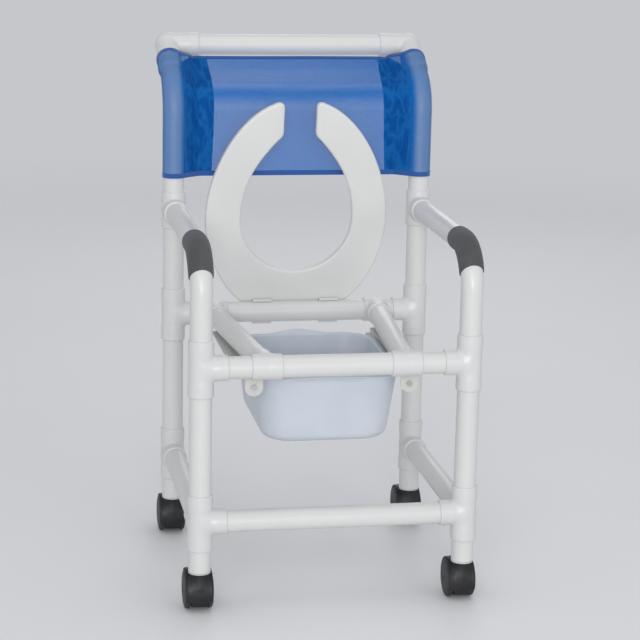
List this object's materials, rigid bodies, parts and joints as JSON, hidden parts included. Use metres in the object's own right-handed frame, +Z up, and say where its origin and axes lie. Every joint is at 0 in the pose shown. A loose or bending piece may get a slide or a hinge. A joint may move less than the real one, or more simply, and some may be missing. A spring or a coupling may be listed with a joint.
{
  "type": "commode chair",
  "caption": "Rolling commode chair of white plastic pipe with a mesh back sling, raised open-front seat, slide-out pail and twin-wheel casters.",
  "frame": {"origin": "on the floor, midway between the front fittings and the push bar, on the centre line", "axes": "+Z up, +Y to the chair's back, +X to the viewer's right from the front; nodes named left are on -X"},
  "size_m": [0.5648, 0.6386, 1.0343],
  "materials": {
    "pipe_plastic": "satin white rigid plastic pipe",
    "fitting_plastic": "satin white moulded fitting",
    "grip_foam": "matt dark grey closed-cell foam",
    "sling_mesh": "blue coated mesh cloth",
    "seat_plastic": "smooth off-white moulded seat",
    "pail_plastic": "translucent bluish white",
    "glide_plastic": "off-white extruded plastic",
    "screw_steel": "stainless pan-head screw",
    "caster_hood": "dark grey moulded plastic",
    "caster_wheel": "dark grey hard tread"
  },
  "bodies": {
    "frame": {"rear_post_left": "pipe_plastic", "arm_and_leg_left": "pipe_plastic", "side_lower_bar_left": "pipe_plastic", "arm_tee_left": "fitting_plastic", "rear_lower_tee_left": "fitting_plastic", "front_lower_tee_left": "fitting_plastic", "front_seat_tee_left": "fitting_plastic", "rear_seat_tee_left": "fitting_plastic", "rail_rear_tee_left": "fitting_plastic", "rail_front_tee_left": "fitting_plastic", "seat_rail_left": "pipe_plastic", "push_elbow_left": "fitting_plastic", "arm_grip_left": "grip_foam", "pail_glide_left": "glide_plastic", "glide_screw_left": "screw_steel", "rear_post_right": "pipe_plastic", "arm_and_leg_right": "pipe_plastic", "side_lower_bar_right": "pipe_plastic", "arm_tee_right": "fitting_plastic", "rear_lower_tee_right": "fitting_plastic", "front_lower_tee_right": "fitting_plastic", "front_seat_tee_right": "fitting_plastic", "rear_seat_tee_right": "fitting_plastic", "rail_rear_tee_right": "fitting_plastic", "rail_front_tee_right": "fitting_plastic", "seat_rail_right": "pipe_plastic", "push_elbow_right": "fitting_plastic", "arm_grip_right": "grip_foam", "pail_glide_right": "glide_plastic", "glide_screw_right": "screw_steel", "push_bar": "pipe_plastic", "front_lower_bar": "pipe_plastic", "front_seat_bar": "pipe_plastic", "rear_seat_bar": "pipe_plastic", "back_sling": "sling_mesh", "caster_socket_front_left": "glide_plastic", "caster_socket_front_right": "glide_plastic", "caster_socket_rear_left": "glide_plastic", "caster_socket_rear_right": "glide_plastic"},
    "seat": {"seat": "seat_plastic", "seat_hinge_clip_left": "seat_plastic", "seat_hinge_clip_right": "seat_plastic"},
    "pail": {"pail": "pail_plastic"},
    "caster_front_left": {"caster_hood_front_left": "caster_hood"},
    "wheel_front_left_outer": {"caster_wheel_front_left_outer": "caster_wheel"},
    "wheel_front_left_inner": {"caster_wheel_front_left_inner": "caster_wheel"},
    "caster_front_right": {"caster_hood_front_right": "caster_hood"},
    "wheel_front_right_outer": {"caster_wheel_front_right_outer": "caster_wheel"},
    "wheel_front_right_inner": {"caster_wheel_front_right_inner": "caster_wheel"},
    "caster_rear_left": {"caster_hood_rear_left": "caster_hood"},
    "wheel_rear_left_outer": {"caster_wheel_rear_left_outer": "caster_wheel"},
    "wheel_rear_left_inner": {"caster_wheel_rear_left_inner": "caster_wheel"},
    "caster_rear_right": {"caster_hood_rear_right": "caster_hood"},
    "wheel_rear_right_outer": {"caster_wheel_rear_right_outer": "caster_wheel"},
    "wheel_rear_right_inner": {"caster_wheel_rear_right_inner": "caster_wheel"}
  },
  "joints": [
    {"name": "seat_hinge", "type": "hinge", "parent": "frame", "child": "seat", "pos_m": [0, 0.162, 0.473], "axis": [1, 0, 0], "range_deg": [0, 83.4]},
    {"name": "pail_slide", "type": "slide", "parent": "frame", "child": "pail", "axis": [0, 1, 0], "range_m": [0, 0.34]},
    {"name": "caster_swivel_front_left", "type": "hinge", "parent": "frame", "child": "caster_front_left", "pos_m": [-0.254, -0.295, 0.09], "axis": [0, 0, 1], "continuous": true},
    {"name": "wheel_spin_front_left_outer", "type": "hinge", "parent": "caster_front_left", "child": "wheel_front_left_outer", "pos_m": [-0.254, -0.271, 0.0375], "axis": [1, 0, 0], "continuous": true},
    {"name": "wheel_spin_front_left_inner", "type": "hinge", "parent": "caster_front_left", "child": "wheel_front_left_inner", "pos_m": [-0.254, -0.271, 0.0375], "axis": [1, 0, 0], "continuous": true},
    {"name": "caster_swivel_front_right", "type": "hinge", "parent": "frame", "child": "caster_front_right", "pos_m": [0.254, -0.295, 0.09], "axis": [0, 0, 1], "continuous": true},
    {"name": "wheel_spin_front_right_outer", "type": "hinge", "parent": "caster_front_right", "child": "wheel_front_right_outer", "pos_m": [0.254, -0.271, 0.0375], "axis": [1, 0, 0], "continuous": true},
    {"name": "wheel_spin_front_right_inner", "type": "hinge", "parent": "caster_front_right", "child": "wheel_front_right_inner", "pos_m": [0.254, -0.271, 0.0375], "axis": [1, 0, 0], "continuous": true},
    {"name": "caster_swivel_rear_left", "type": "hinge", "parent": "frame", "child": "caster_rear_left", "pos_m": [-0.254, 0.162, 0.09], "axis": [0, 0, 1], "continuous": true},
    {"name": "wheel_spin_rear_left_outer", "type": "hinge", "parent": "caster_rear_left", "child": "wheel_rear_left_outer", "pos_m": [-0.254, 0.186, 0.0375], "axis": [1, 0, 0], "continuous": true},
    {"name": "wheel_spin_rear_left_inner", "type": "hinge", "parent": "caster_rear_left", "child": "wheel_rear_left_inner", "pos_m": [-0.254, 0.186, 0.0375], "axis": [1, 0, 0], "continuous": true},
    {"name": "caster_swivel_rear_right", "type": "hinge", "parent": "frame", "child": "caster_rear_right", "pos_m": [0.254, 0.162, 0.09], "axis": [0, 0, 1], "continuous": true},
    {"name": "wheel_spin_rear_right_outer", "type": "hinge", "parent": "caster_rear_right", "child": "wheel_rear_right_outer", "pos_m": [0.254, 0.186, 0.0375], "axis": [1, 0, 0], "continuous": true},
    {"name": "wheel_spin_rear_right_inner", "type": "hinge", "parent": "caster_rear_right", "child": "wheel_rear_right_inner", "pos_m": [0.254, 0.186, 0.0375], "axis": [1, 0, 0], "continuous": true}
  ]
}
